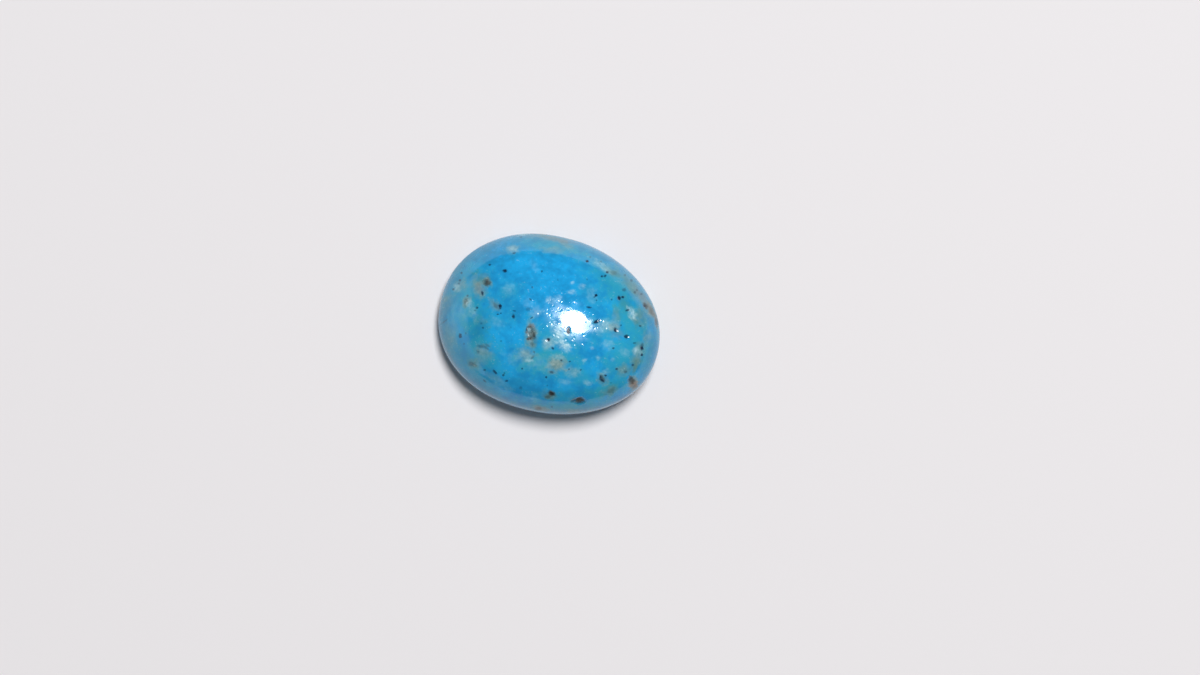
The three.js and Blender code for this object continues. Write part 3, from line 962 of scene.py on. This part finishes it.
add_modifier(stone, stone_finish_tree(), material=polished_turquoise())

bpy.context.view_layer.update()
evaluated = stone.evaluated_get(bpy.context.evaluated_depsgraph_get())
stone_mesh = bpy.data.meshes.new_from_object(evaluated)
stone_mesh.name = "stone"
stone.modifiers.clear()
stone.data = stone_mesh
for holder in spot_holders:
    bpy.data.objects.remove(holder)
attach(stone, "root")
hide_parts("turquoise_stone")

# The floor and the light
# A painted board as a pale table top, a soft lamp above and to the right of the camera, and a dim room. A
# bright card on the left is only mirrored in the polish, as a bright surface beside the stone would be.
FLOOR_SPAN = 4.0
FLOOR_WHITE = "#e8e5e7"
FLOOR_ROUGHNESS = 0.7
LAMP_DISTANCE = 1.0
LAMP_RIGHT = math.radians(10.2)
LAMP_UP = math.radians(16.9)
LAMP_WIDTH = 0.3
LAMP_LENGTH = 0.37
LAMP_POWER = 9.5
CARD_DISTANCE = 0.10
CARD_WIDTH = 0.2
CARD_HEIGHT = 0.044
CARD_POWER = 0.0147
ROOM_GREY = 0.12

floor_mesh = bpy.data.meshes.new("floor")
floor_edge = FLOOR_SPAN / 2
floor_corners = [
    (-floor_edge, -floor_edge, 0), (floor_edge, -floor_edge, 0), (floor_edge, floor_edge, 0),
    (-floor_edge, floor_edge, 0),
]
floor_mesh.from_pydata(floor_corners, [], [(0, 1, 2, 3)])
floor_material = bpy.data.materials.new("painted_board")
floor_material.use_nodes = True
floor_shader = floor_material.node_tree.nodes["Principled BSDF"]
floor_shader.inputs["Base Color"].default_value = linear(FLOOR_WHITE)
floor_shader.inputs["Roughness"].default_value = FLOOR_ROUGHNESS
floor_mesh.materials.append(floor_material)
floor = bpy.data.objects.new("floor", floor_mesh)
bpy.context.scene.collection.objects.link(floor)


def soft_light(name, place, target, width, length, power):
    """An oval light that the camera doesn't see. Its length runs along the picture's height."""
    data = bpy.data.lights.new(name, "AREA")
    data.shape = "ELLIPSE"
    data.size = width
    data.size_y = length
    data.energy = power
    light = bpy.data.objects.new(name, data)
    back = (place - target).normalized()
    side = PICTURE_UP.cross(back).normalized()
    turned = Matrix((side, back.cross(side), back)).transposed()
    light.matrix_world = Matrix.Translation(place) @ turned.to_4x4()
    light.visible_camera = False
    bpy.context.scene.collection.objects.link(light)
    return light


stone_middle = UP * STONE_HEIGHT / 2
towards_lamp = PICTURE_RIGHT * math.tan(LAMP_RIGHT) + PICTURE_UP * math.tan(LAMP_UP) + UP
lamp_place = stone_middle + towards_lamp.normalized() * LAMP_DISTANCE
soft_light("lamp", lamp_place, stone_middle, LAMP_WIDTH, LAMP_LENGTH, LAMP_POWER)
card_place = UP * CARD_HEIGHT / 2 - PICTURE_RIGHT * CARD_DISTANCE
card_target = UP * CARD_HEIGHT / 2
card = soft_light("card", card_place, card_target, CARD_HEIGHT, CARD_WIDTH, CARD_POWER)
card.visible_diffuse = False

room = bpy.data.worlds.new("dim_room")
room.use_nodes = True
room.node_tree.nodes["Background"].inputs["Color"].default_value = (ROOM_GREY, ROOM_GREY, ROOM_GREY, 1)
bpy.context.scene.world = room
bpy.context.scene.view_settings.view_transform = "Standard"
